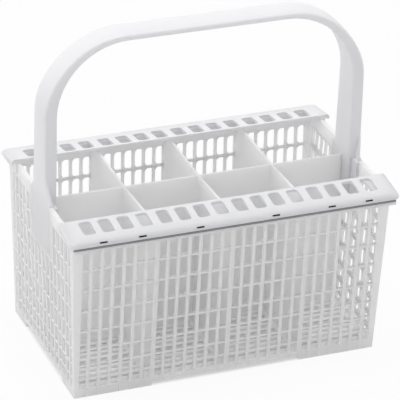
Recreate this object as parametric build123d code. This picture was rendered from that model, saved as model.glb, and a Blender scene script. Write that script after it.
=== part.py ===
from build123d import *
import os
from math import tan, radians

# Dishwasher cutlery basket. Millimetres, Z up, origin under the middle of the feet.
# X runs along the length, Y across the depth with the rear at +Y.

# Body, outside sizes at the top of the end walls
BODY_LENGTH = 240.0
BODY_WIDTH = 139.5
END_WALL_TOP = 130.4
WALL_DRAFT = 1.87          # degrees, every wall leans out towards the top

# Lattice walls: upright ribs outside, thin level rails inside, meeting on one surface
RIB_DEPTH = 1.6
RAIL_DEPTH = 1.2
ZONES = 4                  # compartments along each long wall
COLUMN_PITCH = 8.14
COLUMNS_PER_ZONE = 7
RIB_WIDTH = 2.3
ZONE_RIB_WIDTH = 3.4
RAIL_HEIGHT = 1.8
LATTICE_BOTTOM = 7.5
ROW_HEIGHTS = (18.5, 12.9, 15.1, 16.5, 16.6, 16.6, 15.8)
END_COLUMNS = 16
CORNER_LAND = 0.6          # left between the last windows and the inside corners

# Floor, feet and dividers
FLOOR_UNDERSIDE = 4.5
FLOOR_THICKNESS = 2.2
FLOOR_SLOTS = 3            # across each compartment
FLOOR_BAR = 3.2
FLOOR_MARGIN = 3.0
END_FOOT_LENGTH = 25.0
DIVIDER_THICKNESS = 1.6
DIVIDER_TOP = 127.6
DIVIDER_RISE = 2.2         # how much higher the cross dividers are at the long walls

# Slotted strips on the long rims: a sloping plate with a turned-down lip
STRIP_LENGTH = 249.0
STRIP_INNER_Y = 50.0
STRIP_OUTER_Y = 77.3
STRIP_INNER_TOP = 134.5
STRIP_SLOPE = 8.0          # degrees, down towards the outside
STRIP_THICKNESS = 2.0
STRIP_LIP_THICKNESS = 1.5
STRIP_LIP_DEPTH = 1.7      # below the plate's underside
STRIP_CORNER_RADIUS = 4.0
STRIP_EDGE_BEVEL = 1.9
SLOTS_PER_ZONE = 4
SLOT_PITCH = 14.0
SLOT_WIDTH = 9.0
SLOT_LENGTH = 15.0
SLOT_INNER_LAND = 2.6

LATCH_PLACES = (28.5, 71.4, 100.1)
LATCH_LENGTH = 5.6
LATCH_HEIGHT = 2.4         # up from a little below the plate's underside
LATCH_DROP = 0.8

# Rim flanges under the strips, with a turned-down edge
FLANGE_CLEARANCE = 0.2
FLANGE_END_SETBACK = 1.5
FLANGE_UNDERSIDE = 126.2
FLANGE_LIP_THICKNESS = 1.6
FLANGE_LIP_BOTTOM = 123.2

# Carry handle: a flat arched strap with wide tongues in the end walls
HANDLE_TOP = 252.0
STRAP_THICKNESS = 4.8
LEG_THICKNESS = 7.6
ARCH_RADIUS = 58.0
STRAP_WIDTH = 21.0
LEG_WIDTH = 26.0
SHOULDER_TOP = 148.0
STRAP_EDGE_BEVEL = 1.4
TONGUE_WIDTH = 39.0
TONGUE_BOTTOM = 92.0
CHEEK_OVERLAP = 2.2        # how far the tongue's inner plate reaches past its seat, behind the wall
CHEEK_THICKNESS = 2.4
SEAT_CLEARANCE = 0.2

FAR = 400.0                # longer than anything here, for cutting

WALL = RIB_DEPTH + RAIL_DEPTH
ZONE = COLUMN_PITCH * COLUMNS_PER_ZONE
FLOOR_TOP = FLOOR_UNDERSIDE + FLOOR_THICKNESS
SLOPE = tan(radians(STRIP_SLOPE))
DRAFT = tan(radians(WALL_DRAFT))
ZONE_MIDDLES = [(zone - (ZONES - 1) / 2) * ZONE for zone in range(ZONES)]


def half_length(z):
    return BODY_LENGTH / 2 - (END_WALL_TOP - z) * DRAFT


def half_width(z):
    return BODY_WIDTH / 2 - (END_WALL_TOP - z) * DRAFT


def span(x, y, z):
    """A box from pairs of limits."""
    size = [high - low for low, high in (x, y, z)]
    middle = [(high + low) / 2 for low, high in (x, y, z)]
    return Pos(*middle) * Box(*size)


def tapered_block(inset, bottom, top):
    """The basket's tapered outline, set in by a wall, between two heights."""
    base = Rectangle(2 * (half_length(bottom) - inset), 2 * (half_width(bottom) - inset))
    return extrude(Pos(0, 0, bottom) * base, amount=top - bottom, taper=-WALL_DRAFT)


def strip_underside(y):
    return STRIP_INNER_TOP - STRIP_THICKNESS - (abs(y) - STRIP_INNER_Y) * SLOPE


def row_limits():
    """Window rows as (bottom, top), between the middles of the rails."""
    limits = []
    bottom = LATTICE_BOTTOM
    for height in ROW_HEIGHTS:
        limits.append((bottom, bottom + height))
        bottom += height
    return limits


ROWS = row_limits()
LATTICE_TOP = ROWS[-1][1]
RIM_TOP = STRIP_INNER_TOP - STRIP_THICKNESS
SEAT_HALF = TONGUE_WIDTH / 2 + SEAT_CLEARANCE
LEG_OUTER = half_length(END_WALL_TOP)
LEG_INNER = LEG_OUTER - LEG_THICKNESS


def columns(count, wide_every, corner):
    """Window columns along one wall as (low, high), centred on the wall and kept off its corners."""
    reach = corner - WALL - CORNER_LAND
    limits = []
    for index in range(count):
        low = (index - count / 2) * COLUMN_PITCH
        margins = []
        for rib in (index, index + 1):
            wide = (rib - count / 2) % wide_every == 0
            margins.append((ZONE_RIB_WIDTH if wide else RIB_WIDTH) / 2)
        limits.append((max(low + margins[0], -reach), min(low + COLUMN_PITCH - margins[1], reach)))
    return limits


SIDE_COLUMNS = columns(ZONES * COLUMNS_PER_ZONE, COLUMNS_PER_ZONE, half_length(LATTICE_BOTTOM))
END_WALL_COLUMNS = columns(END_COLUMNS, END_COLUMNS, half_width(LATTICE_BOTTOM))
BESIDE_SEAT = [y for y in END_WALL_COLUMNS if min(abs(y[0]), abs(y[1])) > SEAT_HALF + RIB_WIDTH]
SEAT_ROW = next(index for index, row in enumerate(ROWS) if row[1] > TONGUE_BOTTOM - RIB_WIDTH)
CHEEK_BOTTOM = TONGUE_BOTTOM - CHEEK_OVERLAP
CHEEK_INSET = WALL + SEAT_CLEARANCE


def rim_plan(inset, end_inset, ease):
    """Plan of the front rim: straight inside, outer corners eased by a fillet or a chamfer."""
    x = STRIP_LENGTH / 2 - end_inset
    outer = STRIP_OUTER_Y - inset
    plan = Pos(0, -(STRIP_INNER_Y + outer) / 2) * Rectangle(2 * x, outer - STRIP_INNER_Y)
    return ease(plan.vertices().sort_by(Axis.Y)[:2], STRIP_CORNER_RADIUS - inset)


def above_slope(inner_height):
    """Everything above the front strip's slope, given the slope's height at its inner edge."""
    inner = -STRIP_INNER_Y + STRIP_CORNER_RADIUS
    outer = -STRIP_OUTER_Y - STRIP_CORNER_RADIUS
    foot = [(y, inner_height + (y + STRIP_INNER_Y) * SLOPE) for y in (inner, outer)]
    outline = Polyline(*foot, (outer, FAR), (inner, FAR), close=True)
    return extrude(Plane.YZ * make_face(outline), amount=FAR, both=True)


def both_sides(front):
    """A front piece and its twin on the rear side."""
    return [front, Rot(0, 0, 180) * front]


FLANGE_INSET = STRIP_LIP_THICKNESS + FLANGE_CLEARANCE


def rim_flange():
    """The front rim flange with its turned-down edge."""
    plan = rim_plan(FLANGE_INSET, FLANGE_INSET + FLANGE_END_SETBACK, chamfer)
    block = extrude(Pos(0, 0, FLANGE_LIP_BOTTOM) * plan, amount=RIM_TOP - FLANGE_LIP_BOTTOM)
    reach = STRIP_LENGTH / 2 - FLANGE_INSET - FLANGE_END_SETBACK - FLANGE_LIP_THICKNESS
    edge = STRIP_OUTER_Y - FLANGE_INSET - FLANGE_LIP_THICKNESS
    under = span((-reach, reach), (-edge, 0), (0, FLANGE_UNDERSIDE))
    return block - [under, tapered_block(RIB_DEPTH, 0, FAR)]


def wall_trims():
    """What both halves of the walls lose: the rims' slopes, the foot arches and the handle's seats."""
    foot = half_width(0) - END_FOOT_LENGTH
    trims = both_sides(above_slope(RIM_TOP))
    trims.append(span((-FAR, FAR), (-STRIP_INNER_Y, STRIP_INNER_Y), (END_WALL_TOP, FAR)))
    trims.append(span((-ZONE, ZONE), (-FAR, FAR), (-FAR, FLOOR_UNDERSIDE)))
    trims.append(span((-FAR, FAR), (-foot, foot), (-FAR, FLOOR_UNDERSIDE)))
    trims.append(span((-FAR, FAR), (-SEAT_HALF, SEAT_HALF), (TONGUE_BOTTOM, FAR)))
    return trims


def rib_layer():
    """The outer half of the walls: upright slots leave ribs, corner posts and bands."""
    full = (LATTICE_BOTTOM, LATTICE_TOP)
    below_seat = (LATTICE_BOTTOM, ROWS[SEAT_ROW][0])
    slots = [span(x, (-FAR, FAR), full) for x in SIDE_COLUMNS]
    for y in END_WALL_COLUMNS:
        slots.append(span((-FAR, FAR), y, full if y in BESIDE_SEAT else below_seat))
    layer = tapered_block(0, 0, RIM_TOP) - tapered_block(RIB_DEPTH, 0, RIM_TOP)
    return layer + both_sides(rim_flange()) - slots - wall_trims()


def rail_layer():
    """The inner half of the walls: level slots leave the thin rails."""
    side = SIDE_COLUMNS[-1][1]
    end = END_WALL_COLUMNS[-1][1]
    beside = min(abs(y[0]) for y in BESIDE_SEAT if y[0] > 0)
    slots = []
    for index, (low, high) in enumerate(ROWS):
        z = (low + RAIL_HEIGHT / 2 * (index > 0), high - RAIL_HEIGHT / 2 * (index < len(ROWS) - 1))
        slots.append(span((-side, side), (-FAR, FAR), z))
        if index < SEAT_ROW:
            slots.append(span((-FAR, FAR), (-end, end), z))
        else:
            slots += [span((-FAR, FAR), y, z) for y in ((-end, -beside), (beside, end))]
    layer = tapered_block(RIB_DEPTH, 0, RIM_TOP) - tapered_block(WALL, 0, RIM_TOP)
    return layer - slots - wall_trims()


def floor():
    """The floor plate, with a row of long slots under each compartment."""
    plate = tapered_block(RIB_DEPTH, FLOOR_UNDERSIDE, FLOOR_TOP)
    reach = ZONE / 2 - DIVIDER_THICKNESS / 2 - FLOOR_MARGIN
    depth = half_width(FLOOR_UNDERSIDE) - WALL - FLOOR_MARGIN - DIVIDER_THICKNESS / 2
    pitch = depth / FLOOR_SLOTS
    slots = []
    for middle in ZONE_MIDDLES:
        x = (middle - reach, middle + reach)
        for index in range(FLOOR_SLOTS):
            low = DIVIDER_THICKNESS / 2 + index * pitch + FLOOR_BAR / 2
            high = low + pitch - FLOOR_BAR
            slots += [span(x, y, (0, FAR)) for y in ((low, high), (-high, -low))]
    return plate - slots


def dividers():
    """One long divider, stepped round the handle's tongues, and three cross ones that dip in the middle."""
    half = DIVIDER_THICKNESS / 2
    wall = half_length(END_WALL_TOP)
    leg = LEG_INNER - SEAT_CLEARANCE
    step = CHEEK_BOTTOM - SEAT_CLEARANCE
    long_outline = Polyline(
        (-wall, FLOOR_UNDERSIDE), (wall, FLOOR_UNDERSIDE), (wall, step), (leg, step), (leg, DIVIDER_TOP),
        (-leg, DIVIDER_TOP), (-leg, step), (-wall, step), close=True)
    edge = half_width(END_WALL_TOP)
    cross_outline = Polyline(
        (-edge, FLOOR_UNDERSIDE), (edge, FLOOR_UNDERSIDE), (edge, DIVIDER_TOP + DIVIDER_RISE),
        (0, DIVIDER_TOP), (-edge, DIVIDER_TOP + DIVIDER_RISE), close=True)
    plates = [extrude(Plane.XZ * make_face(long_outline), amount=half, both=True)]
    cross = extrude(Plane.YZ * make_face(cross_outline), amount=half, both=True)
    plates += [Pos(middle + ZONE / 2, 0, 0) * cross for middle in ZONE_MIDDLES[:-1]]
    inside = tapered_block(WALL, FLOOR_UNDERSIDE, RIM_TOP)
    return [plate & inside for plate in plates]


def basket_body():
    inner_half = rail_layer() + [floor()] + dividers()
    return rib_layer() + inner_half


def slot_places():
    """Slot middles along a strip: evenly spaced groups, one for each zone."""
    return [middle + (index - (SLOTS_PER_ZONE - 1) / 2) * SLOT_PITCH
            for middle in ZONE_MIDDLES for index in range(SLOTS_PER_ZONE)]


def slot_strip():
    """The front strip: a sloping slotted plate with a lip on three sides and latch windows."""
    def upright(plan):
        return extrude(plan, amount=FAR)

    lip_foot = RIM_TOP - STRIP_LIP_DEPTH
    cover = (upright(rim_plan(0, 0, fillet)) & above_slope(lip_foot)) - above_slope(STRIP_INNER_TOP)
    top = max(cover.faces(), key=lambda face: face.normal_at().Z)
    bevelled = [edge for edge in top.edges() if edge.center().Y < -STRIP_INNER_Y - SLOT_INNER_LAND / 2]
    cover = chamfer(bevelled, STRIP_EDGE_BEVEL)
    hollow = rim_plan(STRIP_LIP_THICKNESS, STRIP_LIP_THICKNESS, chamfer)
    cover -= upright(hollow) - above_slope(RIM_TOP)
    slot_y = -STRIP_INNER_Y - SLOT_INNER_LAND - SLOT_LENGTH / 2
    slot = upright(Rectangle(SLOT_WIDTH, SLOT_LENGTH))
    cuts = [Pos(x, slot_y, 0) * slot for x in slot_places()]
    latch_low = strip_underside(STRIP_OUTER_Y - STRIP_LIP_THICKNESS) - LATCH_DROP
    latch_y = (-STRIP_OUTER_Y - STRIP_LIP_THICKNESS, -STRIP_OUTER_Y + STRIP_LIP_THICKNESS)
    for x in (sign * place for place in LATCH_PLACES for sign in (-1, 1)):
        cuts.append(span((x - LATCH_LENGTH / 2, x + LATCH_LENGTH / 2), latch_y,
                         (latch_low, latch_low + LATCH_HEIGHT)))
    return cover - cuts


def strap():
    """The arch: a flat strap, thin over the top, thicker and wider down the legs. The outer half flares."""
    def arch(half, top, radius):
        face = Pos(0, (END_WALL_TOP + top) / 2) * Rectangle(2 * half, top - END_WALL_TOP)
        face = fillet(face.vertices().sort_by(Axis.Y)[-2:], radius)
        return extrude(Plane.XZ * face, amount=TONGUE_WIDTH, both=True)

    half_widths = [(TONGUE_WIDTH / 2, END_WALL_TOP), (LEG_WIDTH / 2, SHOULDER_TOP),
                   (STRAP_WIDTH / 2, HANDLE_TOP)]
    front = Polyline(*half_widths, *[(-y, z) for y, z in reversed(half_widths)], close=True)
    filled = arch(LEG_OUTER, HANDLE_TOP, ARCH_RADIUS)
    filled &= extrude(Plane.YZ * make_face(front), amount=FAR, both=True)
    outer = [edge for edge in filled.edges()
             if edge.center().Z > SHOULDER_TOP and abs(edge.center().Y) > STRAP_WIDTH / 4]
    opening = arch(LEG_INNER, HANDLE_TOP - STRAP_THICKNESS, ARCH_RADIUS - STRAP_THICKNESS)
    behind = LEG_OUTER - CHEEK_INSET
    beside = span((-behind, behind), (LEG_WIDTH / 2, FAR), (END_WALL_TOP, SHOULDER_TOP))
    return chamfer(outer, STRAP_EDGE_BEVEL) - [opening, *both_sides(beside)]


def tongue():
    """The left leg's end: a wide tongue flush in its seat, and an inner plate that laps behind the wall."""
    def outside_of(inset):
        return span((-FAR, 0), (-FAR, FAR), (0, FAR)) - tapered_block(inset, 0, FAR)

    leg = span((-FAR, -LEG_INNER), (-LEG_WIDTH / 2, LEG_WIDTH / 2), (TONGUE_BOTTOM, END_WALL_TOP))
    plate = span((-FAR, 0), (-TONGUE_WIDTH / 2, TONGUE_WIDTH / 2), (TONGUE_BOTTOM, END_WALL_TOP))
    plate -= tapered_block(CHEEK_INSET, 0, FAR)
    cheek_half = SEAT_HALF + CHEEK_OVERLAP
    cheek = span((-FAR, 0), (-cheek_half, cheek_half), (CHEEK_BOTTOM, END_WALL_TOP))
    cheek -= outside_of(CHEEK_INSET)
    cheek -= tapered_block(CHEEK_INSET + CHEEK_THICKNESS, 0, FAR)
    return (leg + plate) - outside_of(0) + cheek


def carry_handle():
    return strap() + both_sides(tongue())


front_strip, rear_strip = both_sides(slot_strip())
PIECES = {
    "basket_body": basket_body(),
    "carry_handle": carry_handle(),
    "front_slot_strip": front_strip,
    "rear_slot_strip": rear_strip,
}

os.makedirs("parts", exist_ok=True)
for name, piece in PIECES.items():
    export_step(piece, f"parts/{name}.step")
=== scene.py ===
import math

import bmesh
import bpy
from mathutils import Matrix, Vector


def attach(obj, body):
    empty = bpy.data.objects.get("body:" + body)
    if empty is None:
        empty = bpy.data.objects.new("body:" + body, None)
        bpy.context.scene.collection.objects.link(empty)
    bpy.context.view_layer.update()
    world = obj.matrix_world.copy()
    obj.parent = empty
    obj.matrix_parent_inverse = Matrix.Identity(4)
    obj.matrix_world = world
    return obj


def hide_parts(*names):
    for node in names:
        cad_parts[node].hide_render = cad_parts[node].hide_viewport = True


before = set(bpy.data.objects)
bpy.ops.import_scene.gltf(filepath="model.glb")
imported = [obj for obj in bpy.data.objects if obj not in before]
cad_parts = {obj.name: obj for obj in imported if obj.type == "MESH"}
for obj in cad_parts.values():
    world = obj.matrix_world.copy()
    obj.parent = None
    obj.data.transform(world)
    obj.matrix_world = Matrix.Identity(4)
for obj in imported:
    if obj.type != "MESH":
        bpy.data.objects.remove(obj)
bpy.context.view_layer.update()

MM = 0.001
MERGE_DISTANCE = 0.001 * MM

# Sizes of the mouldings, in millimetres

BODY_LENGTH, BODY_WIDTH, END_WALL_TOP = 240.0, 139.5, 130.4
DRAFT = math.tan(math.radians(1.87))

# Lattice: upright ribs outside, level rails behind them
RIB_WIDTH, RIB_DEPTH = 2.3, 1.6
RAIL_HEIGHT, RAIL_DEPTH = 1.8, 1.2
COLUMN_PITCH, COLUMNS_PER_ZONE, ZONES = 8.14, 7, 4
ZONE = COLUMN_PITCH * COLUMNS_PER_ZONE
OUTER_ZONE_MIDDLE = ZONE * (ZONES - 1) / 2
SIDE_COLUMNS, SIDE_REACH = ZONES * COLUMNS_PER_ZONE, 112.2
END_COLUMNS, END_REACH = 16, 62.3
LOW_END_COLUMNS = END_COLUMNS - 2
BESIDE_SEAT_COLUMNS, BESIDE_SEAT_REACH = 5, 24.5
BESIDE_SEAT_MIDDLE = (END_COLUMNS - BESIDE_SEAT_COLUMNS) / 2 * COLUMN_PITCH
LOW_RAIL, SEAT_RAIL = 15.2, 87.1
RAILS = (LOW_RAIL, 26.0, 38.9, 54.0, 70.5, SEAT_RAIL, 103.7)
LATTICE_BOTTOM, LATTICE_TOP = 7.5, 119.5
BAR_EASE, BAR_EASE_STEPS = 0.25, 2
NOSE_DEPTH, NOSE_HEIGHT, NOSE_ROUND, NOSE_SINK = 1.5, RAIL_HEIGHT - 0.1, 0.74, 0.1
WINDOW_RADIUS, WINDOW_ROUND_STEPS = 2.0, 5
WEB_INSET, WEB_LAP = 0.05, 0.3
RIB_END_DROP, RIB_END_TAPER, RIB_END_LAP = 0.9, 0.8, 0.2
SIDE_RIB_ENDS, END_RIB_ENDS = 2 * COLUMNS_PER_ZONE - 1, 9
FOOT_PROUD, FOOT_SINK, FOOT_EASE, FOOT_CLEARANCE = 0.8, 0.3, 0.2, 0.4
FOOT_RIBS = COLUMNS_PER_ZONE - 1

# Floor and dividers
FLOOR_UNDERSIDE, FLOOR_THICKNESS, DIVIDER_THICKNESS = 4.5, 2.2, 1.6
FLOOR_SLOT_PITCH, FLOOR_SLOTS, SLATS_PER_SLOT = 19.68, 3, 2
SLAT_WIDTH, SLAT_REACH = 2.8, 24.7

# Slotted strips
STRIP_LENGTH, STRIP_INNER_Y, STRIP_OUTER_Y, STRIP_INNER_TOP = 249.0, 50.0, 77.3, 134.5
STRIP_SLOPE = math.tan(math.radians(8.0))
STRIP_THICKNESS, STRIP_LIP_THICKNESS, STRIP_LIP_DEPTH = 2.0, 1.5, 1.7
STRIP_CORNER, STRIP_ROUND, STRIP_FOOT_ROUND = 4.0, 2.6, 0.7
CORNER_STEPS, EDGE_STEPS, LIP_FOOT_STEPS = 8, 8, 3
SLOTS_PER_ZONE, SLOT_PITCH, SLOT_WIDTH, SLOT_LENGTH = 4, 14.0, 9.0, 15.0
SLOT_INNER_LAND, SLOT_RADIUS, SLOT_CORNER_STEPS = 2.6, 2.2, 5
LATCH_PLACES, LATCH_LENGTH = (28.5, 71.4, 100.1), 5.6
LATCH_MIDDLES = sorted(side * place for place in LATCH_PLACES for side in (-1, 1))
LATCH_STEPS = range(4, 6)  # the steps of the rounded edge that a latch window leaves open
LATCH_POCKET = Vector((0, 0.9, -0.6))  # inwards and down

# The bead under a strip's lip and the painted shade in the joint above it: bottom, height, inset, depth
BEAD = (122.9, 2.1, 0.4, 1.7)
JOINT_SHADE_BAR = (124.9, 1.5, 1.0, 1.1)
BEAD_REACH, BEAD_EASE = 121.5, 0.2

# Carry handle
HANDLE_TOP, STRAP_THICKNESS, LEG_THICKNESS, ARCH_RADIUS = 252.0, 4.8, 7.6, 58.0
STRAP_WIDTH, LEG_WIDTH, TONGUE_WIDTH = 21.0, 26.0, 39.0
SHOULDER_TOP, TONGUE_BOTTOM, ARCH_SPRING = 148.0, 92.0, HANDLE_TOP - ARCH_RADIUS
LEG_OUTER = BODY_LENGTH / 2
LEG_INNER = LEG_OUTER - LEG_THICKNESS
LEG_SWELL, SWELL_FADE, SWELL_END = 2.0, 200.0, 238.0
FREE_FROM = END_WALL_TOP + 1.0
CROWN, CROWN_PLACES = 0.7, (0.6, 0.3, 0.0, -0.3, -0.6)
STRAP_SOFT, STRAP_SOFT_SHARE, STRAP_EASE = 1.8, 0.38, 0.8
TONGUE_SOFT, TONGUE_EASE, LEAST_STEP = 0.5, 0.4, 0.1
CHEEK_OVERLAP, CHEEK_OUTER, CHEEK_INNER, SEAT_CLEARANCE = 2.2, 3.0, 5.4, 0.2
TONGUE_LEVELS = (TONGUE_BOTTOM, 104.0, 126.4, END_WALL_TOP)
SHOULDER_STEPS, LEG_STEPS, ARCH_STEPS, SECTION_STEPS = 8, 6, 28, 5
MARK_Y, MARK_Z, MARK_STEPS = -4.7, 152.0, 16
MARK_RINGS = ((0.0, 0.0), (0.9, 0.0), (0.9, 0.08), (0.6, 0.08), (0.0, 0.02))  # radius, lift


def half_length(z):
    """Half the body's length at a height, with the end walls' draft."""
    return BODY_LENGTH / 2 - (END_WALL_TOP - z) * DRAFT


def half_width(z):
    """Half the body's width at a height, with the side walls' draft."""
    return BODY_WIDTH / 2 - (END_WALL_TOP - z) * DRAFT


# Small helpers

def linear(hex_colour):
    """An sRGB hex colour as linear red, green, blue and alpha."""
    channels = [int(hex_colour[i:i + 2], 16) / 255 for i in (1, 3, 5)]
    return [c / 12.92 if c <= 0.04045 else ((c + 0.055) / 1.055) ** 2.4 for c in channels] + [1.0]


def add_node(tree, kind, inputs=None, **settings):
    """A new node with its settings, and with values or links on its named or numbered inputs."""
    node = tree.nodes.new(kind)
    for name, value in settings.items():
        setattr(node, name, value)
    for key, value in (inputs or {}).items():
        if isinstance(value, bpy.types.NodeSocket):
            tree.links.new(value, node.inputs[key])
        else:
            node.inputs[key].default_value = value
    return node


def new_object(name, data):
    """A new object in the scene, at the origin."""
    made = bpy.data.objects.new(name, data)
    bpy.context.scene.collection.objects.link(made)
    return made


def mesh_in_mm(name, points, edges=(), faces=()):
    """A mesh from points in millimetres."""
    mesh = bpy.data.meshes.new(name)
    mesh.from_pydata([Vector(point) * MM for point in points], list(edges), list(faces))
    return mesh


def join_meshes(name, meshes):
    """One mesh out of several, with the materials kept."""
    joined = bpy.data.meshes.new(name)
    collected = bmesh.new()
    for mesh in meshes:
        shift = {}
        for index, material in enumerate(mesh.materials):
            if material is None:
                continue
            if material.name not in joined.materials:
                joined.materials.append(material)
            shift[index] = joined.materials.find(material.name)
        start = len(collected.faces)
        collected.from_mesh(mesh)
        collected.faces.ensure_lookup_table()
        for face in collected.faces[start:]:
            face.material_index = shift.get(face.material_index, 0)
    collected.to_mesh(joined)
    collected.free()
    return joined


def loft(sections, material, smooth_degrees, caps=True):
    """A skin through sections of equal point counts, in millimetres. It is closed by caps, or without them
    by end sections that shrink to a point."""
    count = len(sections[0])
    points = [point for section in sections for point in section]
    faces = []
    for step in range(len(sections) - 1):
        for index in range(count):
            after = (index + 1) % count
            faces.append((step * count + index, step * count + after,
                          (step + 1) * count + after, (step + 1) * count + index))
    if caps:
        faces.append(tuple(range(count - 1, -1, -1)))
        faces.append(tuple((len(sections) - 1) * count + index for index in range(count)))
    mesh = mesh_in_mm("loft", points, faces=faces)
    return tidy_skin(mesh, material, smooth_degrees)


def tidy_skin(mesh, material, smooth_degrees):
    """Normals outwards, smooth where the skin turns gently."""
    skin = bmesh.new()
    skin.from_mesh(mesh)
    bmesh.ops.remove_doubles(skin, verts=skin.verts, dist=MERGE_DISTANCE)
    bmesh.ops.recalc_face_normals(skin, faces=skin.faces)
    limit = math.radians(smooth_degrees)
    for face in skin.faces:
        face.smooth = True
    for edge in skin.edges:
        edge.smooth = len(edge.link_faces) == 2 and edge.calc_face_angle(math.pi) < limit
    skin.to_mesh(mesh)
    skin.free()
    if material.name not in mesh.materials:
        mesh.materials.append(material)
    return mesh


# Materials, with their sizes in millimetres

GRAIN_SIZE, GRAIN_HEIGHT, GRAIN_STRENGTH = 0.5, 0.05, 0.12
CLOUD_SIZE, CLOUD_TINT, SHEEN_SPREAD = 35.0, 0.97, 0.05
EDGE_EASE, MOTTLE_SIZE = 0.35, 1.5
POLYPROPYLENE_IOR = 1.49
WHITE = linear("#FFFFFF")


def blank_material(name):
    """A new material and its empty tree."""
    material = bpy.data.materials.new(name)
    material.use_nodes = True
    material.node_tree.nodes.clear()
    return material, material.node_tree


def moulded_polypropylene(name, hex_colour, roughness, carried):
    """Injection-moulded polypropylene from a spark-eroded mould. It gives a satin white with wide, soft
    highlights on eased edges, a fine even grain, slight flow clouds, and some light carried through.
    The real grain is finer still: it is drawn at GRAIN_SIZE so that it shows in a close view."""
    material, tree = blank_material(name)
    place = add_node(tree, "ShaderNodeTexCoord").outputs["Object"]
    grain = add_node(tree, "ShaderNodeTexNoise", {
        "Vector": place, "Scale": 1 / (GRAIN_SIZE * MM), "Detail": 2.0, "Roughness": 0.6})
    clouds = add_node(tree, "ShaderNodeTexNoise", {
        "Vector": place, "Scale": 1 / (CLOUD_SIZE * MM), "Detail": 3.0, "Roughness": 0.5})
    sheen = add_node(tree, "ShaderNodeMapRange", {
        "Value": clouds.outputs["Fac"], "From Min": 0.3, "From Max": 0.7,
        "To Min": roughness - SHEEN_SPREAD, "To Max": roughness + SHEEN_SPREAD})
    white = linear(hex_colour)
    tint = add_node(tree, "ShaderNodeMixRGB", {
        "Fac": clouds.outputs["Fac"], "Color1": white,
        "Color2": [channel * CLOUD_TINT for channel in white[:3]] + [1.0]})
    eased = add_node(tree, "ShaderNodeBevel", {"Radius": EDGE_EASE * MM}, samples=4)
    bump = add_node(tree, "ShaderNodeBump", {
        "Strength": GRAIN_STRENGTH, "Distance": GRAIN_HEIGHT * MM, "Height": grain.outputs["Fac"],
        "Normal": eased.outputs["Normal"]})
    shader = add_node(tree, "ShaderNodeBsdfPrincipled", {
        "Base Color": tint.outputs["Color"], "Roughness": sheen.outputs["Result"],
        "IOR": POLYPROPYLENE_IOR, "Normal": bump.outputs["Normal"]})
    through = add_node(tree, "ShaderNodeBsdfTranslucent", {"Color": tint.outputs["Color"]})
    mixed = add_node(tree, "ShaderNodeMixShader", {
        0: carried, 1: shader.outputs["BSDF"], 2: through.outputs["BSDF"]})
    add_node(tree, "ShaderNodeOutputMaterial", {"Surface": mixed.outputs["Shader"]})
    return material


def painted_shade_material(name, dark, pale):
    """Painted shade: polypropylene deep in a hollow that hardly any light reaches, given a dark colour
    that stands in for its shade. It reads as a dark mark, rough and without a highlight."""
    material, tree = blank_material(name)
    place = add_node(tree, "ShaderNodeTexCoord").outputs["Object"]
    mottle = add_node(tree, "ShaderNodeTexNoise", {"Vector": place, "Scale": 1 / (MOTTLE_SIZE * MM)})
    shade = add_node(tree, "ShaderNodeMixRGB", {
        "Fac": mottle.outputs["Fac"], "Color1": linear(dark), "Color2": linear(pale)})
    shader = add_node(tree, "ShaderNodeBsdfPrincipled", {
        "Base Color": shade.outputs["Color"], "Roughness": 0.9, "Specular IOR Level": 0.1})
    add_node(tree, "ShaderNodeOutputMaterial", {"Surface": shader.outputs["BSDF"]})
    return material


BODY_PLASTIC = moulded_polypropylene(
    "satin moulded polypropylene, thin walls", "#FCFCFC", roughness=0.46, carried=0.52)
LATTICE_PLASTIC = moulded_polypropylene(
    "satin moulded polypropylene, rails and slats", "#FCFCFC", roughness=0.46, carried=0.15)
FITTING_PLASTIC = moulded_polypropylene(
    "satin moulded polypropylene, fittings", "#F4F4F6", roughness=0.40, carried=0.3)
# Painted shade: near-black greys stand in for the shade in the hollow behind a latch window.
PAINTED_LATCH_SHADE = painted_shade_material("painted shade behind a latch window", "#242427", "#38383C")
# Painted shade: mid greys stand in for the shade in the narrow joint under a strip's lip.
PAINTED_JOINT_SHADE = painted_shade_material("painted shade in the joint under a strip's lip", "#8C8C92", "#9C9CA2")


# Geometry Nodes: the parts that repeat

def new_tree(name, sockets):
    """An empty tree with named inputs and a geometry output. Returns it with its input node."""
    tree = bpy.data.node_groups.new(name, "GeometryNodeTree")
    for label, kind in sockets:
        tree.interface.new_socket(name=label, in_out="INPUT", socket_type="NodeSocket" + kind)
    tree.interface.new_socket(name="Geometry", in_out="OUTPUT", socket_type="NodeSocketGeometry")
    return tree, add_node(tree, "NodeGroupInput")


def end_tree(tree, given, geometry):
    """Realize Instances, Set Material and the output."""
    real = add_node(tree, "GeometryNodeRealizeInstances", {"Geometry": geometry})
    dressed = add_node(tree, "GeometryNodeSetMaterial", {
        "Geometry": real.outputs["Geometry"], "Material": given.outputs["Material"]})
    add_node(tree, "NodeGroupOutput", {"Geometry": dressed.outputs["Geometry"]})


def run_tree(tree, base, values):
    """The plain mesh that a tree makes from a base mesh and its named inputs."""
    carrier = new_object("carrier", base)
    modifier = carrier.modifiers.new("nodes", "NODES")
    modifier.node_group = tree
    for socket in tree.interface.items_tree:
        if socket.in_out == "INPUT" and socket.name in values:
            modifier[socket.identifier] = values[socket.name]
    depsgraph = bpy.context.evaluated_depsgraph_get()
    mesh = bpy.data.meshes.new_from_object(carrier.evaluated_get(depsgraph), depsgraph=depsgraph)
    carrier.modifiers.clear()
    bpy.data.objects.remove(carrier)
    return mesh


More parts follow.
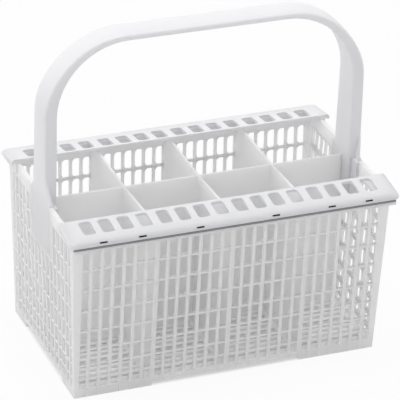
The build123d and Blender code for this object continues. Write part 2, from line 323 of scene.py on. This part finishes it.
def spread(tree, count, pitch):
    """Nodes for a row of points along X, centred on the origin."""
    gaps = add_node(tree, "ShaderNodeMath", {0: count, 1: 1.0}, operation="SUBTRACT")
    length = add_node(tree, "ShaderNodeMath", {0: gaps.outputs["Value"], 1: pitch}, operation="MULTIPLY")
    start = add_node(tree, "ShaderNodeMath", {0: length.outputs["Value"], 1: -0.5}, operation="MULTIPLY")
    first = add_node(tree, "ShaderNodeCombineXYZ", {"X": start.outputs["Value"]})
    step = add_node(tree, "ShaderNodeCombineXYZ", {"X": pitch})
    line = add_node(tree, "GeometryNodeMeshLine", {
        "Count": count, "Start Location": first.outputs["Vector"], "Offset": step.outputs["Vector"]})
    return line.outputs["Mesh"]


def bars_tree():
    """Every edge of the base becomes a level bar with eased edges."""
    tree, given = new_tree("Eased bars", [
        ("Lines", "Geometry"), ("Depth", "Float"), ("Height", "Float"), ("Ease", "Float"),
        ("Material", "Material")])
    lines = add_node(tree, "GeometryNodeMeshToCurve", {"Mesh": given.outputs["Lines"]})
    level = add_node(tree, "GeometryNodeSetCurveNormal", {"Curve": lines.outputs["Curve"]}, mode="Z_UP")
    section = add_node(tree, "GeometryNodeCurvePrimitiveQuadrilateral", {
        "Width": given.outputs["Depth"], "Height": given.outputs["Height"]})
    eased = add_node(tree, "GeometryNodeFilletCurve", {
        "Curve": section.outputs["Curve"], "Radius": given.outputs["Ease"],
        "Count": BAR_EASE_STEPS}, mode="POLY")
    bars = add_node(tree, "GeometryNodeCurveToMesh", {
        "Curve": level.outputs["Curve"], "Profile Curve": eased.outputs["Curve"], "Fill Caps": True})
    end_tree(tree, given, bars.outputs["Mesh"])
    return tree


def columns_tree():
    """Every point of the base gets a row of copies of one small piece, turned about Y by the point's
    own turn."""
    tree, given = new_tree("Copies along a wall", [
        ("Rows", "Geometry"), ("Piece", "Object"), ("Copies", "Int"), ("Pitch", "Float"),
        ("Material", "Material")])
    line = spread(tree, given.outputs["Copies"], given.outputs["Pitch"])
    rows = add_node(tree, "GeometryNodeInstanceOnPoints", {
        "Points": given.outputs["Rows"], "Instance": line})
    grid = add_node(tree, "GeometryNodeRealizeInstances", {"Geometry": rows.outputs["Instances"]})
    turn = add_node(tree, "GeometryNodeInputNamedAttribute", {"Name": "turn"}, data_type="FLOAT")
    about_y = add_node(tree, "ShaderNodeCombineXYZ", {"Y": turn.outputs["Attribute"]})
    piece = add_node(tree, "GeometryNodeObjectInfo", {"Object": given.outputs["Piece"]})
    copies = add_node(tree, "GeometryNodeInstanceOnPoints", {
        "Points": grid.outputs["Geometry"], "Instance": piece.outputs["Geometry"],
        "Rotation": about_y.outputs["Vector"]})
    end_tree(tree, given, copies.outputs["Instances"])
    return tree


def slotted_plate_tree():
    """The base's outline filled and thickened, with groups of round-cornered slots left open."""
    tree, given = new_tree("Slotted plate", [
        ("Outline", "Geometry"), ("Zones", "Int"), ("Zone pitch", "Float"), ("Slots", "Int"),
        ("Slot pitch", "Float"), ("Slot middle", "Float"), ("Slot width", "Float"),
        ("Slot length", "Float"), ("Slot radius", "Float"), ("Thickness", "Float"),
        ("Material", "Material")])
    zones = spread(tree, given.outputs["Zones"], given.outputs["Zone pitch"])
    slots = spread(tree, given.outputs["Slots"], given.outputs["Slot pitch"])
    groups = add_node(tree, "GeometryNodeInstanceOnPoints", {"Points": zones, "Instance": slots})
    places = add_node(tree, "GeometryNodeRealizeInstances", {"Geometry": groups.outputs["Instances"]})
    across = add_node(tree, "ShaderNodeCombineXYZ", {"Y": given.outputs["Slot middle"]})
    moved = add_node(tree, "GeometryNodeSetPosition", {
        "Geometry": places.outputs["Geometry"], "Offset": across.outputs["Vector"]})
    slot = add_node(tree, "GeometryNodeCurvePrimitiveQuadrilateral", {
        "Width": given.outputs["Slot width"], "Height": given.outputs["Slot length"]})
    rounded = add_node(tree, "GeometryNodeFilletCurve", {
        "Curve": slot.outputs["Curve"], "Radius": given.outputs["Slot radius"],
        "Count": SLOT_CORNER_STEPS}, mode="POLY")
    holes = add_node(tree, "GeometryNodeInstanceOnPoints", {
        "Points": moved.outputs["Geometry"], "Instance": rounded.outputs["Curve"]})
    holes = add_node(tree, "GeometryNodeRealizeInstances", {"Geometry": holes.outputs["Instances"]})
    rim = add_node(tree, "GeometryNodeMeshToCurve", {"Mesh": given.outputs["Outline"]})
    outlines = add_node(tree, "GeometryNodeJoinGeometry")
    tree.links.new(rim.outputs["Curve"], outlines.inputs["Geometry"])
    tree.links.new(holes.outputs["Geometry"], outlines.inputs["Geometry"])
    face = add_node(tree, "GeometryNodeFillCurve", {"Curve": outlines.outputs["Geometry"]})
    thick = add_node(tree, "GeometryNodeExtrudeMesh", {
        "Mesh": face.outputs["Mesh"], "Offset Scale": given.outputs["Thickness"], "Individual": False})
    underside = add_node(tree, "GeometryNodeFlipFaces", {"Mesh": face.outputs["Mesh"]})
    both = add_node(tree, "GeometryNodeJoinGeometry")
    tree.links.new(thick.outputs["Mesh"], both.inputs["Geometry"])
    tree.links.new(underside.outputs["Mesh"], both.inputs["Geometry"])
    end_tree(tree, given, both.outputs["Geometry"])
    return tree


BARS = bars_tree()
COPIES = columns_tree()
SLOTTED_PLATE = slotted_plate_tree()


# Basket: the finer lattice that the moulding's walls and floor carry

def level_bars(lines, depth, height, ease=BAR_EASE, material=LATTICE_PLASTIC):
    """Bars along lines given as pairs of points."""
    points = [point for line in lines for point in line]
    base = mesh_in_mm("lines", points, edges=[(2 * i, 2 * i + 1) for i in range(len(lines))])
    return run_tree(BARS, base, {
        "Depth": depth * MM, "Height": height * MM, "Ease": ease * MM, "Material": material})


def front_and_rear(reach, y, z, middle=0.0):
    """A line along the front and its twin along the rear."""
    return [((middle - reach, side * y, z), (middle + reach, side * y, z)) for side in (-1, 1)]


def low_rails():
    """The rail that splits the lowest row of windows, on all four walls."""
    inset = RIB_DEPTH + RAIL_DEPTH / 2
    x, y = half_length(LOW_RAIL) - inset, half_width(LOW_RAIL) - inset
    lines = front_and_rear(SIDE_REACH, y, LOW_RAIL)
    lines += [((side * x, -END_REACH, LOW_RAIL), (side * x, END_REACH, LOW_RAIL)) for side in (-1, 1)]
    return level_bars(lines, RAIL_DEPTH, RAIL_HEIGHT)


def rail_noses():
    """The rounded nose of every rail, a little behind the ribs' faces, on all four walls. The end walls'
    upper rails stop at the handle's seat."""
    inset = RIB_DEPTH - NOSE_DEPTH / 2 + NOSE_SINK
    lines = []
    for z in RAILS:
        x, y = half_length(z) - inset, half_width(z) - inset
        lines += front_and_rear(SIDE_REACH, y, z)
        inner = 0.0 if z < SEAT_RAIL else BESIDE_SEAT_REACH
        lines += [((side * x, half * inner, z), (side * x, half * END_REACH, z))
                  for side in (-1, 1) for half in (-1, 1)]
    return level_bars(lines, NOSE_DEPTH, NOSE_HEIGHT, NOSE_ROUND)


def rim_beads():
    """The bead along the lower edge of each rim flange, and a bar of painted shade in the joint between it
    and the lip of the strip."""
    bars = []
    for (bottom, height, inset, depth), material in ((BEAD, BODY_PLASTIC), (JOINT_SHADE_BAR, PAINTED_JOINT_SHADE)):
        y, z = STRIP_OUTER_Y - inset - depth / 2, bottom + height / 2
        bars.append(level_bars(front_and_rear(BEAD_REACH, y, z), depth, height, BEAD_EASE, material))
    return bars


def floor_slats():
    """The slats along each floor slot."""
    z = FLOOR_UNDERSIDE + FLOOR_THICKNESS / 2
    places = [slot + slat / (SLATS_PER_SLOT + 1)
              for slot in range(FLOOR_SLOTS) for slat in range(1, SLATS_PER_SLOT + 1)]
    lines = []
    for zone in range(ZONES):
        middle = zone * ZONE - OUTER_ZONE_MIDDLE
        for place in places:
            y = DIVIDER_THICKNESS / 2 + place * FLOOR_SLOT_PITCH
            lines += front_and_rear(SLAT_REACH, y, z, middle)
    return level_bars(lines, SLAT_WIDTH, FLOOR_THICKNESS)


def window_head():
    """The two rounded upper corners of one window, as thin webs."""
    half = (COLUMN_PITCH - RIB_WIDTH) / 2
    front, back = WEB_INSET, RAIL_DEPTH - WEB_INSET
    points, faces = [], []
    for side in (-1, 1):
        outline = [(side * half, WEB_LAP)]
        for step in range(WINDOW_ROUND_STEPS + 1):
            angle = math.pi / 2 * step / WINDOW_ROUND_STEPS
            outline.append((side * (half - WINDOW_RADIUS + WINDOW_RADIUS * math.cos(angle)),
                            -WINDOW_RADIUS + WINDOW_RADIUS * math.sin(angle)))
        start, count = len(points), len(outline)
        points += [(x, front, z) for x, z in outline] + [(x, back, z) for x, z in outline]
        faces.append(tuple(range(start, start + count)))
        faces.append(tuple(range(start + 2 * count - 1, start + count - 1, -1)))
        for index in range(count):
            after = (index + 1) % count
            faces.append((start + index, start + after, start + count + after, start + count + index))
    return tidy_skin(mesh_in_mm("window head", points, faces=faces), BODY_PLASTIC, smooth_degrees=40)


def rib_end():
    """The short end of a rib below the raised bottom edge."""
    half = RIB_WIDTH / 2
    section = [(-half, 0), (half, 0), (half, RIB_DEPTH), (-half, RIB_DEPTH)]
    bottom = [(x * RIB_END_TAPER, y, -RIB_END_DROP) for x, y in section]
    top = [(x, y, RIB_END_LAP) for x, y in section]
    return loft([bottom, top], BODY_PLASTIC, smooth_degrees=20)


def rib_foot():
    """The end of a rib that runs on, slightly proud, over the foot of a wall."""
    half = RIB_WIDTH / 2
    section = [(-half, FOOT_SINK), (FOOT_EASE - half, -FOOT_PROUD),
               (half - FOOT_EASE, -FOOT_PROUD), (half, FOOT_SINK)]
    bottom = [(x, y, FOOT_CLEARANCE) for x, y in section]
    top = [(x, y - DRAFT * LATTICE_BOTTOM, LATTICE_BOTTOM) for x, y in section]
    return loft([bottom, top], BODY_PLASTIC, smooth_degrees=20)


def along_wall(piece, rows, copies, middle, turn_wall):
    """Copies of a piece on rows of (height, inset, turn) of one wall, turned into place about Z."""
    on_end = abs(math.sin(turn_wall)) > 0.5
    reach = half_length if on_end else half_width
    points = [(middle, inset - reach(z), z) for z, inset, _ in rows]
    base = mesh_in_mm("rows", points)
    turns = base.attributes.new("turn", "FLOAT", "POINT")
    turns.data.foreach_set("value", [turn for _, _, turn in rows])
    mesh = run_tree(COPIES, base, {
        "Piece": piece, "Copies": copies, "Pitch": COLUMN_PITCH * MM, "Material": BODY_PLASTIC})
    mesh.transform(Matrix.Rotation(turn_wall, 4, "Z"))
    return mesh


def window_rows(low_from=LATTICE_BOTTOM, high_to=LATTICE_TOP):
    """Heights of window tops and bottoms between two levels, as rows for the corner webs."""
    levels = [LATTICE_BOTTOM, *RAILS, LATTICE_TOP]
    rows = []
    for low, high in zip(levels, levels[1:]):
        if low < low_from or high > high_to:
            continue
        top = high - (RAIL_HEIGHT / 2 if high in RAILS else 0)
        bottom = low + (RAIL_HEIGHT / 2 if low in RAILS else 0)
        rows += [(top, RIB_DEPTH, 0.0), (bottom, RIB_DEPTH, math.pi)]
    return rows


def lattice_details():
    """What the solid lattice leaves out: low rails, rail noses, floor slats, rim beads with painted shade
    in their joints, rounded window corners, and the ribs' ends and feet."""
    head = new_object("window head", window_head())
    end = new_object("rib end", rib_end())
    foot = new_object("rib foot", rib_foot())
    end_row, foot_row = [(FLOOR_UNDERSIDE, 0, 0.0)], [(0, 0, 0.0)]
    below_seat, beside_seat = window_rows(high_to=SEAT_RAIL), window_rows(low_from=SEAT_RAIL)
    meshes = [low_rails(), rail_noses(), floor_slats(), *rim_beads()]
    for turn in (0.0, math.pi):
        meshes.append(along_wall(head, window_rows(), SIDE_COLUMNS, 0, turn))
        meshes.append(along_wall(end, end_row, SIDE_RIB_ENDS, 0, turn))
        for middle in (-OUTER_ZONE_MIDDLE, OUTER_ZONE_MIDDLE):
            meshes.append(along_wall(foot, foot_row, FOOT_RIBS, middle, turn))
    for turn in (math.pi / 2, -math.pi / 2):
        meshes.append(along_wall(head, below_seat, LOW_END_COLUMNS, 0, turn))
        for middle in (-BESIDE_SEAT_MIDDLE, BESIDE_SEAT_MIDDLE):
            meshes.append(along_wall(head, beside_seat, BESIDE_SEAT_COLUMNS, middle, turn))
        meshes.append(along_wall(end, end_row, END_RIB_ENDS, 0, turn))
    for helper in (head, end, foot):
        bpy.data.objects.remove(helper)
    piece = new_object("lattice_details", join_meshes("lattice details", meshes))
    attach(piece, "root")


# Slotted strips

def strip_height(y):
    """The height of a strip's top face, which slopes outwards."""
    return STRIP_INNER_TOP - (abs(y) - STRIP_INNER_Y) * STRIP_SLOPE


def rim_path(inset):
    """Plan of the front strip's edge from its left inner end to its right one, moved in by an inset. It has
    a point at each end of every latch window."""
    half, outer = STRIP_LENGTH / 2, -STRIP_OUTER_Y
    left = [((-half, -STRIP_INNER_Y), (-1, 0))]
    for step in range(CORNER_STEPS + 1):
        angle = math.pi + math.pi / 2 * step / CORNER_STEPS
        away = (math.cos(angle), math.sin(angle))
        left.append(((-half + STRIP_CORNER * (1 + away[0]), outer + STRIP_CORNER * (1 + away[1])), away))
    front = [((middle + side * LATCH_LENGTH / 2, outer), (0, -1))
             for middle in LATCH_MIDDLES for side in (-1, 1)]
    right = [((-x, y), (-away_x, away_y)) for (x, y), (away_x, away_y) in reversed(left)]
    return [(x - inset * away[0], y - inset * away[1]) for (x, y), away in left + front + right]


def edge_profile():
    """Section of a strip's edge as (inset, rise) points: rounded edge, lip's rounded foot, lip's inside."""
    depth = STRIP_THICKNESS + STRIP_LIP_DEPTH
    profile = []
    for step in range(EDGE_STEPS + 1):
        angle = math.pi / 2 * step / EDGE_STEPS
        profile.append((STRIP_ROUND * (1 - math.sin(angle)), -STRIP_ROUND * (1 - math.cos(angle))))
    for step in range(LIP_FOOT_STEPS + 1):
        angle = math.pi / 2 * step / LIP_FOOT_STEPS
        profile.append((STRIP_FOOT_ROUND * (1 - math.cos(angle)),
                        STRIP_FOOT_ROUND * (1 - math.sin(angle)) - depth))
    return profile + [(STRIP_LIP_THICKNESS, -depth), (STRIP_LIP_THICKNESS, -STRIP_THICKNESS),
                      (STRIP_ROUND, -STRIP_THICKNESS)]


def strip_edge():
    """The strip's rounded edge and turned-down lip, and a pocket painted dark as shade behind each latch
    window.
    """
    profile = edge_profile()
    paths = [rim_path(inset) for inset, _ in profile]
    count, stations = len(profile), len(paths[0])
    points = []
    for station in range(stations):
        for (_, rise), path in zip(profile, paths):
            x, y = path[station]
            points.append((x, y, strip_height(y) + rise))
    first_latch = CORNER_STEPS + 2
    latches = range(first_latch, first_latch + 2 * len(LATCH_MIDDLES), 2)
    faces, pockets = [], []
    for station in range(stations - 1):
        here, there = station * count, (station + 1) * count
        opens = station in latches
        for index in range(count):
            after = (index + 1) % count
            if not (opens and index in LATCH_STEPS):
                faces.append((here + index, here + after, there + after, there + index))
        if opens:
            rows = [*LATCH_STEPS, LATCH_STEPS.stop]
            mouth = [here + row for row in rows] + [there + row for row in reversed(rows)]
            pockets.append(latch_pocket([points[index] for index in mouth]))
    faces.append(tuple(range(count)))
    faces.append(tuple((stations - 1) * count + index for index in range(count - 1, -1, -1)))
    edge = tidy_skin(mesh_in_mm("strip edge", points, faces=faces), FITTING_PLASTIC, smooth_degrees=35)
    return [edge, *pockets]


def latch_pocket(mouth):
    """The pocket behind one latch window, open at its mouth, painted dark as its shade."""
    count = len(mouth)
    back = [tuple(Vector(point) + LATCH_POCKET) for point in mouth]
    faces = [tuple(range(count, 2 * count))]
    faces += [(i, (i + 1) % count, count + (i + 1) % count, count + i) for i in range(count)]
    mesh = mesh_in_mm("latch pocket", [*mouth, *back], faces=faces)
    mesh.materials.append(PAINTED_LATCH_SHADE)
    return mesh


def slot_strip(name, node, turn):
    """One slotted strip, made at the front and turned into place about Z."""
    inner = rim_path(STRIP_ROUND)
    outline = mesh_in_mm("outline", [(x, y, 0) for x, y in inner],
                         edges=[(i, (i + 1) % len(inner)) for i in range(len(inner))])
    slot_middle = -(STRIP_INNER_Y + SLOT_INNER_LAND + SLOT_LENGTH / 2)
    plate = run_tree(SLOTTED_PLATE, outline, {
        "Zones": ZONES, "Zone pitch": ZONE * MM, "Slots": SLOTS_PER_ZONE, "Slot pitch": SLOT_PITCH * MM,
        "Slot middle": slot_middle * MM, "Slot width": SLOT_WIDTH * MM, "Slot length": SLOT_LENGTH * MM,
        "Slot radius": SLOT_RADIUS * MM, "Thickness": STRIP_THICKNESS * MM, "Material": FITTING_PLASTIC})
    low = min(vertex.co.z for vertex in plate.vertices)
    for vertex in plate.vertices:
        vertex.co.z += strip_height(vertex.co.y / MM) * MM - STRIP_THICKNESS * MM - low
    plate = tidy_skin(plate, FITTING_PLASTIC, smooth_degrees=30)
    mesh = join_meshes(name, [plate, *strip_edge()])
    mesh.transform(Matrix.Rotation(turn, 4, "Z"))
    piece = new_object(name, mesh)
    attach(piece, "root")
    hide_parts(node)


# Carry handle

def handle_half_width(z):
    """Half the strap's width: tongue, flared shoulder, then a slow taper to the grip."""
    stops = [(END_WALL_TOP, TONGUE_WIDTH / 2), (SHOULDER_TOP, LEG_WIDTH / 2), (HANDLE_TOP, STRAP_WIDTH / 2)]
    if z <= stops[0][0]:
        return stops[0][1]
    for (z0, w0), (z1, w1) in zip(stops, stops[1:]):
        if z <= z1:
            return w0 + (w1 - w0) * (z - z0) / (z1 - z0)
    return stops[-1][1]


def leg_swell(z):
    """How far a leg's outer face stands out past the wall. It grows over the shoulder and fades in the
    arch."""
    grown = min(max((z - END_WALL_TOP) / (SHOULDER_TOP - END_WALL_TOP), 0), 1)
    faded = min(max((SWELL_END - z) / (SWELL_END - SWELL_FADE), 0), 1)
    return LEG_SWELL * grown * grown * (3 - 2 * grown) * faded * faded * (3 - 2 * faded)


def handle_stations():
    """(outer point, inner point) in the XZ plane, from the left tongue to the right one."""
    left = [((-half_length(z), z), (-LEG_INNER, z)) for z in TONGUE_LEVELS]
    leg = [END_WALL_TOP + (SHOULDER_TOP - END_WALL_TOP) * step / SHOULDER_STEPS
           for step in range(1, SHOULDER_STEPS + 1)]
    leg += [SHOULDER_TOP + (ARCH_SPRING - SHOULDER_TOP) * step / LEG_STEPS for step in range(1, LEG_STEPS)]
    left += [((-LEG_OUTER - leg_swell(z), z), (-LEG_INNER, z)) for z in leg]
    inner_radius = ARCH_RADIUS - STRAP_THICKNESS
    for step in range(ARCH_STEPS + 1):
        angle = math.pi - math.pi / 2 * step / ARCH_STEPS
        across, up = math.cos(angle), math.sin(angle)
        z = ARCH_SPRING + ARCH_RADIUS * up
        left.append(((-LEG_OUTER - leg_swell(z) + ARCH_RADIUS * (1 + across), z),
                     (-LEG_INNER + inner_radius * (1 + across), ARCH_SPRING + inner_radius * up)))
    return left + [((-ox, oz), (-ix, iz)) for (ox, oz), (ix, iz) in reversed(left)]


def strap_section(outer, inner):
    """A section across the strap: soft outer edges, a slight crown outside, eased inner edges. Only the
    outer layer flares at the shoulder, so the section steps in behind it there."""
    outer, inner = Vector((outer[0], 0, outer[1])), Vector((inner[0], 0, inner[1]))
    out = (outer - inner).normalized()
    thick = (outer - inner).length
    half = handle_half_width(outer.z)
    inner_half = min(half, LEG_WIDTH / 2)
    if outer.z > FREE_FROM:
        soft, ease, crown = min(STRAP_SOFT, thick * STRAP_SOFT_SHARE), STRAP_EASE, CROWN
    else:
        soft, ease, crown = TONGUE_SOFT, TONGUE_EASE, 0.0
    shoulder = max(thick - CHEEK_OUTER, ease + LEAST_STEP)

    def arc(y, t, radius, first):
        angles = [math.radians(first + 90 * step / SECTION_STEPS) for step in range(SECTION_STEPS + 1)]
        return [(y + radius * math.cos(angle), t + radius * math.sin(angle)) for angle in angles]

    low = thick - crown
    face = [(half * place, thick - crown * place * place) for place in CROWN_PLACES]
    points = arc(half - soft, low - soft, soft, 0) + face + arc(soft - half, low - soft, soft, 90)
    points += [(-half, shoulder), (-inner_half, shoulder)]
    points += arc(ease - inner_half, ease, ease, 180) + arc(inner_half - ease, ease, ease, 270)
    points += [(inner_half, shoulder), (half, shoulder)]
    return [tuple(inner + out * t + Vector((0, y, 0))) for y, t in points]


def cheek(side):
    """The tongue's inner plate, lapping behind the end wall."""
    half = TONGUE_WIDTH / 2 + SEAT_CLEARANCE + CHEEK_OVERLAP
    sections = []
    for z in (TONGUE_BOTTOM - CHEEK_OVERLAP, END_WALL_TOP):
        outer, inner = half_length(z) - CHEEK_OUTER, half_length(z) - CHEEK_INNER
        sections.append([(side * outer, -half, z), (side * outer, half, z),
                         (side * inner, half, z), (side * inner, -half, z)])
    return loft(sections, FITTING_PLASTIC, smooth_degrees=20)


def ejector_mark(side):
    """The small dished mark that the mould's ejector pin left on the inside of a leg."""
    turns = [2 * math.pi * step / MARK_STEPS for step in range(MARK_STEPS)]
    rings = []
    for radius, lift in MARK_RINGS:
        x = side * (LEG_INNER - lift)
        rings.append([(x, MARK_Y + radius * math.cos(turn), MARK_Z + radius * math.sin(turn))
                      for turn in turns])
    return loft(rings, FITTING_PLASTIC, smooth_degrees=30, caps=False)


def carry_handle():
    """The arched strap with its legs and tongues, the cheeks behind them and the ejector marks."""
    sections = [strap_section(outer, inner) for outer, inner in handle_stations()]
    strap = loft(sections, FITTING_PLASTIC, smooth_degrees=38)
    pieces = [strap] + [make(side) for make in (cheek, ejector_mark) for side in (-1, 1)]
    piece = new_object("carry_handle_moulding", join_meshes("carry handle", pieces))
    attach(piece, "root")
    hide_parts("carry_handle")


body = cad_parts["basket_body"]
body.data.materials.clear()
body.data.materials.append(BODY_PLASTIC)
lattice_details()
slot_strip("front_strip_moulding", "front_slot_strip", 0.0)
slot_strip("rear_strip_moulding", "rear_slot_strip", math.pi)
carry_handle()


# Stage, light and camera

PAPER, PAPER_REACH, PAPER_GLOW = "#E4E4E4", 6000.0, 0.93
SHADE_LIFT, SHADE_INSIDE, SHADE_OUTSIDE = 0.4, 3.0, 1.0
ROOM_LEVEL, ROOM_LEAN, ROOM_LEAST = 1.47, (-0.10, 0.42, -1.11), 0.1
LAMP_AIM = Vector((0, 0, 0.1))


def seen_as_background(tree):
    """1 for rays from the camera, mirror rays and rays through clear things, 0 for light on the basket."""
    ray = add_node(tree, "ShaderNodeLightPath")
    seen = ray.outputs["Is Camera Ray"]
    for kind in ("Is Glossy Ray", "Is Transmission Ray"):
        either = add_node(tree, "ShaderNodeMath", {0: seen, 1: ray.outputs[kind]}, operation="MAXIMUM")
        seen = either.outputs["Value"]
    return seen


def make_stage():
    """A pale floor, white to the camera all round; under the basket its natural shade shows, partly lifted
    by a painted white glow.
    """
    reach = PAPER_REACH
    corners = [(-reach, -reach, 0), (reach, -reach, 0), (reach, reach, 0), (-reach, reach, 0)]
    mesh = mesh_in_mm("floor", corners, faces=[(0, 1, 2, 3)])
    floor = new_object("floor", mesh)
    material, tree = blank_material("studio paper")
    place = add_node(tree, "ShaderNodeSeparateXYZ", {
        "Vector": add_node(tree, "ShaderNodeTexCoord").outputs["Object"]})
    outside = []
    for axis, half in (("X", half_length(0)), ("Y", half_width(0))):
        distance = add_node(tree, "ShaderNodeMath", {0: place.outputs[axis]}, operation="ABSOLUTE")
        outside.append(add_node(tree, "ShaderNodeMapRange", {
            "Value": distance.outputs["Value"], "From Min": (half - SHADE_INSIDE) * MM,
            "From Max": (half + SHADE_OUTSIDE) * MM, "To Min": SHADE_LIFT}))
    clear = add_node(tree, "ShaderNodeMath", {
        0: outside[0].outputs["Result"], 1: outside[1].outputs["Result"]}, operation="MAXIMUM")
    white = add_node(tree, "ShaderNodeMath", {
        0: clear.outputs["Value"], 1: PAPER_GLOW}, operation="MULTIPLY")
    share = add_node(tree, "ShaderNodeMath", {
        0: seen_as_background(tree), 1: white.outputs["Value"]}, operation="MULTIPLY")
    paper = add_node(tree, "ShaderNodeBsdfDiffuse", {"Color": linear(PAPER)})
    glow = add_node(tree, "ShaderNodeEmission", {"Color": WHITE, "Strength": 1.0})
    mixed = add_node(tree, "ShaderNodeMixShader", {
        0: share.outputs["Value"], 1: paper.outputs["BSDF"], 2: glow.outputs["Emission"]})
    add_node(tree, "ShaderNodeOutputMaterial", {"Surface": mixed.outputs["Shader"]})
    mesh.materials.append(material)


def make_world():
    """Soft light, brightest from the horizon behind the basket and dimmest overhead, where the lamps are,
    with plain white behind the object."""
    world = bpy.data.worlds.new("studio")
    bpy.context.scene.world = world
    world.use_nodes = True
    tree = world.node_tree
    tree.nodes.clear()
    direction = add_node(tree, "ShaderNodeTexCoord").outputs["Generated"]
    lean = add_node(tree, "ShaderNodeVectorMath", {0: direction, 1: ROOM_LEAN}, operation="DOT_PRODUCT")
    level = add_node(tree, "ShaderNodeMath", {0: lean.outputs["Value"], 1: ROOM_LEVEL}, operation="ADD")
    light = add_node(tree, "ShaderNodeMath", {
        0: level.outputs["Value"], 1: ROOM_LEAST}, operation="MAXIMUM")
    room = add_node(tree, "ShaderNodeBackground", {"Color": WHITE, "Strength": light.outputs["Value"]})
    white = add_node(tree, "ShaderNodeBackground", {"Color": WHITE, "Strength": 1.0})
    mixed = add_node(tree, "ShaderNodeMixShader", {
        0: seen_as_background(tree), 1: room.outputs["Background"], 2: white.outputs["Background"]})
    add_node(tree, "ShaderNodeOutputWorld", {"Surface": mixed.outputs["Shader"]})


def add_softbox(name, location, size, power):
    """A square soft light aimed at the basket."""
    lamp = bpy.data.lights.new(name, "AREA")
    lamp.shape = "SQUARE"
    lamp.size = size
    lamp.energy = power
    softbox = new_object(name, lamp)
    softbox.location = location
    aim = LAMP_AIM - Vector(location)
    softbox.rotation_euler = aim.to_track_quat("-Z", "Y").to_euler()


def make_camera():
    """The photograph's viewpoint: place, turn, lens and lens shift."""
    place = Vector((-0.749786, -1.815407, 1.147721))
    yaw, pitch, roll = 0.39825, 0.48433, 0.04129
    ahead = Vector((math.sin(yaw) * math.cos(pitch), math.cos(yaw) * math.cos(pitch), -math.sin(pitch)))
    level = Vector((math.cos(yaw), -math.sin(yaw), 0))
    above = level.cross(ahead)
    right = level * math.cos(roll) + above * math.sin(roll)
    up = above * math.cos(roll) - level * math.sin(roll)
    data = bpy.data.cameras.new("camera")
    data.sensor_width, data.lens = 36, 277.07
    data.shift_x, data.shift_y = -0.0393, -0.01918
    data.clip_start, data.clip_end = 0.1, 50
    camera = new_object("camera", data)
    turn = Matrix((right, up, -ahead)).transposed().to_4x4()
    camera.matrix_world = Matrix.Translation(place) @ turn
    bpy.context.scene.camera = camera


make_stage()
make_world()
add_softbox("side softbox, upper left", (-1.15, 0.0, 1.8), size=0.8, power=2)
add_softbox("top softbox", (0.0, 0.0, 2.1), size=0.7, power=15.5)
make_camera()
bpy.context.scene.view_settings.view_transform = "Standard"
